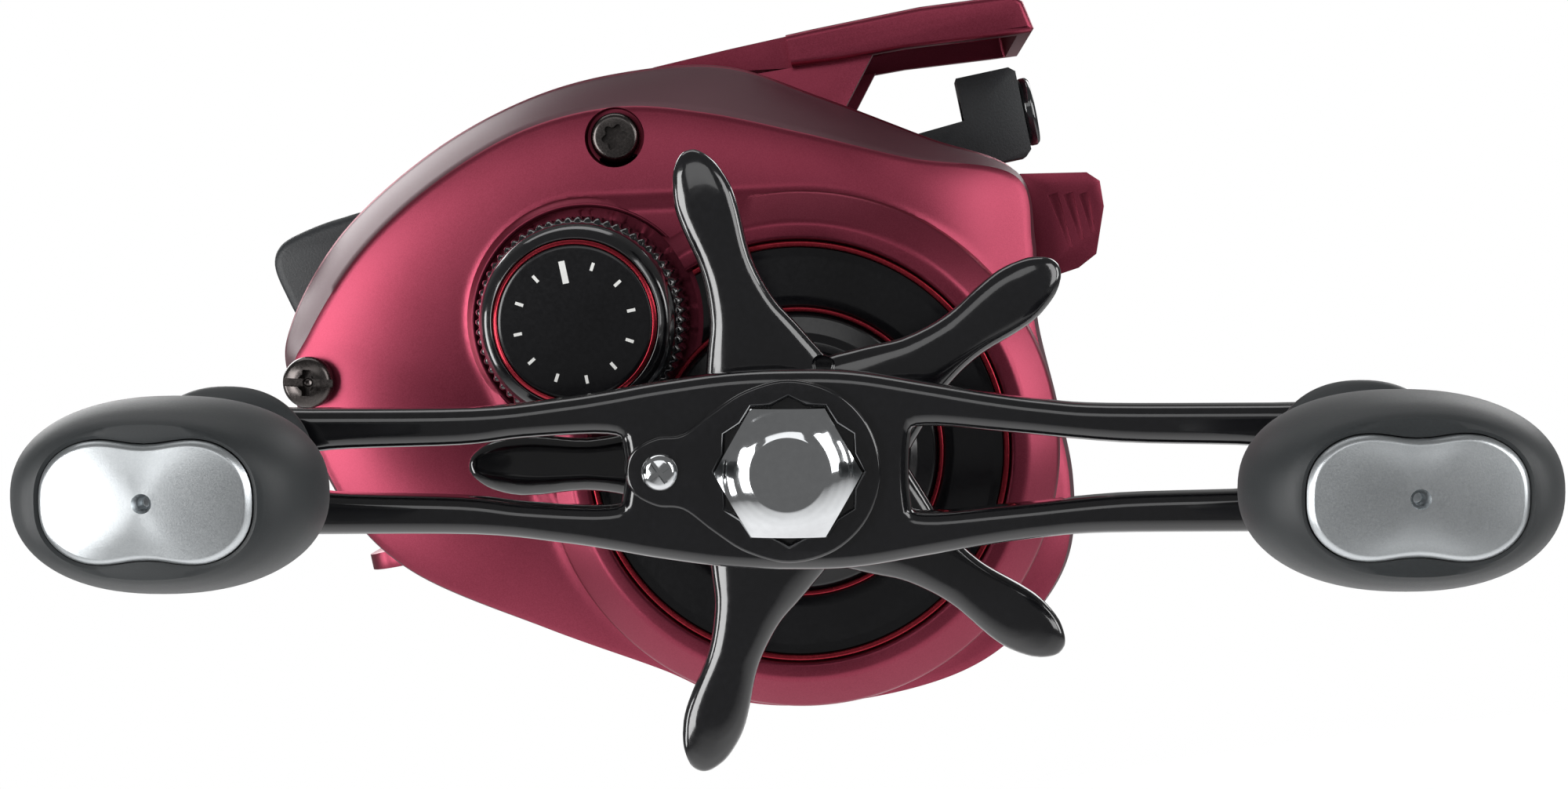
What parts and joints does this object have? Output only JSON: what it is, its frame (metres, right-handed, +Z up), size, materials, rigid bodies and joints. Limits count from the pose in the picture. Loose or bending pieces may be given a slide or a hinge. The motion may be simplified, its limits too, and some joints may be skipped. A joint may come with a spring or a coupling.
{
  "type": "baitcasting reel",
  "caption": "Low-profile baitcasting fishing reel with geared handle, star drag, level wind, thumb-bar clutch and cast control cap.",
  "frame": {"origin": "centre of the reel foot's flat underside", "axes": "+Z up from the rod seat, +X forward along the line, -Y towards the handle; the spool and drive shafts run along Y"},
  "size_m": [0.1085, 0.106, 0.0604],
  "materials": {
    "red_paint": "satin metallic paint",
    "trim_red": "red anodised",
    "gloss_black": "gloss black",
    "cap_black": "gloss black, knurled",
    "moulded_black": "moulded",
    "guide_ceramic": "polished",
    "knob_rubber": "soft touch",
    "satin_cap": "satin",
    "bright_chrome": "polished",
    "dark_screw": "dark plated",
    "spool_aluminium": "machined",
    "steel": "machined",
    "brass": "cut teeth",
    "moulded_gear": "moulded acetal",
    "carbon": "woven carbon friction disc"
  },
  "bodies": {
    "root": {"frame": "red_paint", "reel_foot": "red_paint", "foot_rivets": "steel", "front_hood": "red_paint", "handle_side_cover": "red_paint", "palm_side_cover": "red_paint", "top_cover_screw": "dark_screw", "slotted_cover_screws": "dark_screw", "palm_cover_screws": "dark_screw", "drag_face_disc": "gloss_black", "outer_trim_ring": "trim_red", "inner_trim_ring": "trim_red", "clutch_retainer_plate": "dark_screw", "one_way_clutch": "steel", "drive_shaft_bearing": "steel", "spool_bearings": "steel", "worm_guard_tube": "steel", "guide_bar": "steel", "worm_bushes": "brass", "idler_pin": "steel", "yoke_posts": "steel", "yoke_springs": "steel"},
    "handle": {"drive_shaft": "steel", "levelwind_drive_gear": "brass", "drive_gear": "brass", "drag_washers": "carbon", "drag_pressure_plate": "steel", "clutch_sleeve": "steel", "drag_spring_washers": "steel", "handle_spacer": "steel", "handle_arm": "gloss_black", "handle_nut": "bright_chrome", "nut_retainer": "gloss_black", "retainer_screw": "bright_chrome", "knob_posts": "steel", "knob_screws": "steel"},
    "star": {"star_drag": "gloss_black", "star_nut": "brass"},
    "knob_front": {"knob_grip_front": "knob_rubber", "knob_cap_front": "satin_cap", "knob_bush_front": "steel"},
    "knob_rear": {"knob_grip_rear": "knob_rubber", "knob_cap_rear": "satin_cap", "knob_bush_rear": "steel"},
    "spool": {"spool": "spool_aluminium", "spool_shaft": "steel", "brake_rotor": "spool_aluminium"},
    "yoke": {"clutch_yoke": "moulded_gear"},
    "pinion": {"pinion_gear": "brass"},
    "thumb_bar": {"thumb_bar": "moulded_black"},
    "clutch_cam": {"clutch_cam": "steel"},
    "idler": {"idler_gear": "moulded_gear"},
    "worm": {"worm_shaft": "steel", "worm_gear": "brass"},
    "line_guide": {"line_guide": "moulded_black", "line_guide_ring": "guide_ceramic", "levelwind_pawl": "steel"},
    "cast_control": {"cast_control_cap": "cap_black"},
    "brake_dial": {"brake_dial": "moulded_black"},
    "brake_magnets": {"brake_magnets": "steel"}
  },
  "joints": [
    {"name": "handle_turn", "type": "hinge", "parent": "root", "child": "handle", "pos_m": [0.01365, -0.03, 0.00464], "axis": [0, -1, 0], "continuous": true},
    {"name": "star_drag_turn", "type": "hinge", "parent": "handle", "child": "star", "pos_m": [0.01365, -0.04, 0.00464], "axis": [0, -1, 0], "range_deg": [-180, 180]},
    {"name": "front_knob_spin", "type": "hinge", "parent": "handle", "child": "knob_front", "pos_m": [0.05676, -0.062, -0.00417], "axis": [0, -1, 0], "continuous": true},
    {"name": "rear_knob_spin", "type": "hinge", "parent": "handle", "child": "knob_rear", "pos_m": [-0.02946, -0.062, 0.01345], "axis": [0, -1, 0], "continuous": true},
    {"name": "spool_spin", "type": "hinge", "parent": "root", "child": "spool", "pos_m": [-0.002, 0, 0.0195], "axis": [0, -1, 0], "continuous": true},
    {"name": "pinion_shift", "type": "slide", "parent": "root", "child": "yoke", "axis": [0, -1, 0], "range_m": [0, 0.0018]},
    {"name": "pinion_spin", "type": "hinge", "parent": "yoke", "child": "pinion", "pos_m": [-0.002, -0.018, 0.0195], "axis": [0, -1, 0], "continuous": true},
    {"name": "thumb_bar_press", "type": "slide", "parent": "root", "child": "thumb_bar", "axis": [0, 0, -1], "range_m": [0, 0.004]},
    {"name": "clutch_cam_turn", "type": "hinge", "parent": "root", "child": "clutch_cam", "pos_m": [-0.002, -0.0155, 0.0195], "axis": [0, -1, 0], "range_deg": [0, 11.71]},
    {"name": "idler_spin", "type": "hinge", "parent": "root", "child": "idler", "pos_m": [0.0215, -0.0168, 0.01249], "axis": [0, -1, 0], "continuous": true},
    {"name": "worm_spin", "type": "hinge", "parent": "root", "child": "worm", "pos_m": [0.0285, 0, 0.0195], "axis": [0, -1, 0], "continuous": true},
    {"name": "line_guide_traverse", "type": "slide", "parent": "root", "child": "line_guide", "axis": [0, 1, 0], "range_m": [-0.0092, 0.0092]},
    {"name": "cast_control_turn", "type": "hinge", "parent": "root", "child": "cast_control", "pos_m": [-0.002, -0.033, 0.0195], "axis": [0, -1, 0], "range_deg": [-180, 180]},
    {"name": "brake_dial_turn", "type": "hinge", "parent": "root", "child": "brake_dial", "pos_m": [-0.002, 0.028, 0.0195], "axis": [0, 1, 0], "range_deg": [0, 270]},
    {"name": "magnet_shift", "type": "slide", "parent": "root", "child": "brake_magnets", "axis": [0, -1, 0], "range_m": [0, 0.002]}
  ],
  "couplings": [
    {"joint": "brake_dial_turn", "follows": "magnet_shift", "rad_per_m": 2356.2},
    {"joint": "spool_spin", "follows": "handle_turn", "ratio": -7.3},
    {"joint": "pinion_spin", "follows": "handle_turn", "ratio": -7.3},
    {"joint": "idler_spin", "follows": "handle_turn", "ratio": -1.8462},
    {"joint": "worm_spin", "follows": "handle_turn", "ratio": 1.2},
    {"joint": "pinion_shift", "follows": "thumb_bar_press", "ratio": 0.45},
    {"joint": "clutch_cam_turn", "follows": "thumb_bar_press", "rad_per_m": 50.889}
  ]
}
